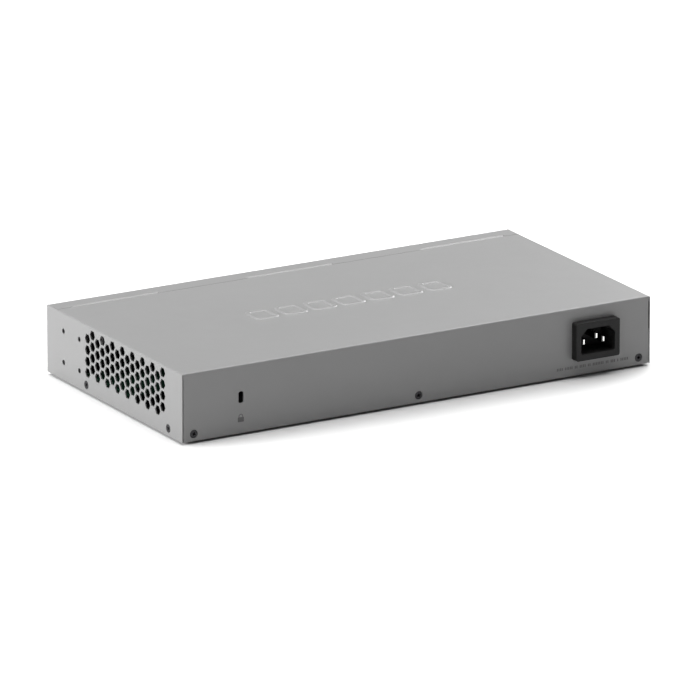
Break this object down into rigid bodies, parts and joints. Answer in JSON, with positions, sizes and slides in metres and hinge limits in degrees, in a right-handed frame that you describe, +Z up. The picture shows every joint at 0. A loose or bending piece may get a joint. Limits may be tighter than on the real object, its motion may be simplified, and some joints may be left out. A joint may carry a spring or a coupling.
{
  "type": "network switch",
  "caption": "Flat fanless network switch in a folded sheet-metal case, with stacked copper ports, module ports, vented sides, a mains inlet, a lock slot and push buttons.",
  "frame": {"origin": "bottom centre of the bounding box, on the surface that the feet stand on", "axes": "+X to the right seen from the port side, +Y from the port side to the rear, +Z up"},
  "size_m": [0.328, 0.1746, 0.0443],
  "materials": {
    "case_paint": "fine matt powder coat",
    "zinc_steel": "zinc plated",
    "screw_steel": "dark zinc",
    "foot_rubber": "matt",
    "jack_plastic": "satin moulded",
    "shield_steel": "tinned",
    "contact_gold": "gold plated",
    "lamp_lens": "clear",
    "led_body": "clear",
    "button_plastic": "satin",
    "switch_plastic": "moulded nylon",
    "inlet_plastic": "fine moulded",
    "blade_metal": "nickel plated",
    "board_green": "solder mask",
    "board_tan": "phenolic board",
    "chip_black": "moulded epoxy",
    "cooler_aluminium": "extruded",
    "crystal_can": "satin",
    "capacitor_sleeve": "sleeve",
    "insulator_sheet": "polyester film",
    "transformer_core": "ferrite and tape",
    "fuse_ceramic": "ceramic",
    "wire_black": "insulated wire",
    "wire_green": "insulated wire",
    "wire_red": "insulated wire"
  },
  "bodies": {
    "chassis": {"base_tray": "zinc_steel", "board_capacitors": "capacitor_sleeve", "board_inductors": "chip_black", "board_screws": "screw_steel", "board_standoffs": "zinc_steel", "clock_crystal": "crystal_can", "dc_socket": "switch_plastic", "earth_nut": "zinc_steel", "earth_ring_terminal": "blade_metal", "earth_stud": "zinc_steel", "earth_wire": "wire_green", "flash_memory": "chip_black", "front_panel": "case_paint", "inlet_blades": "blade_metal", "inlet_housing": "inlet_plastic", "jack_contacts_1": "contact_gold", "jack_contacts_2": "contact_gold", "jack_contacts_3": "contact_gold", "jack_housing_1": "jack_plastic", "jack_housing_2": "jack_plastic", "jack_housing_3": "jack_plastic", "jack_lamps": "lamp_lens", "jack_shield_1": "shield_steel", "jack_shield_2": "shield_steel", "jack_shield_3": "shield_steel", "main_board": "board_green", "mains_wires": "wire_black", "mode_switch": "switch_plastic", "phy_chips": "chip_black", "psu_board": "board_tan", "psu_bulk_capacitor": "capacitor_sleeve", "psu_choke": "transformer_core", "psu_fuse": "fuse_ceramic", "psu_heatsinks": "cooler_aluminium", "psu_insulator": "insulator_sheet", "psu_output_capacitors": "capacitor_sleeve", "psu_output_header": "switch_plastic", "psu_screws": "screw_steel", "psu_standoffs": "zinc_steel", "psu_transformer": "transformer_core", "rear_cover_screws": "screw_steel", "reset_switch": "switch_plastic", "rubber_feet": "foot_rubber", "sfp_cage_1": "shield_steel", "sfp_cage_2": "shield_steel", "sfp_connectors": "jack_plastic", "side_cover_screws": "screw_steel", "status_leds": "led_body", "status_light_pipes": "lamp_lens", "supply_wires": "wire_red", "switch_chip": "chip_black", "switch_heatsink": "cooler_aluminium", "top_cover": "case_paint"},
    "mode_key": {"mode_button": "button_plastic"},
    "reset_key": {"reset_button": "button_plastic"}
  },
  "joints": [
    {"name": "mode_press", "type": "slide", "parent": "chassis", "child": "mode_key", "axis": [0, 1, 0], "range_m": [0, 0.0005], "stiffness_N_per_m": 1500},
    {"name": "reset_press", "type": "slide", "parent": "chassis", "child": "reset_key", "axis": [0, 1, 0], "range_m": [0, 0.0005], "stiffness_N_per_m": 1500}
  ]
}
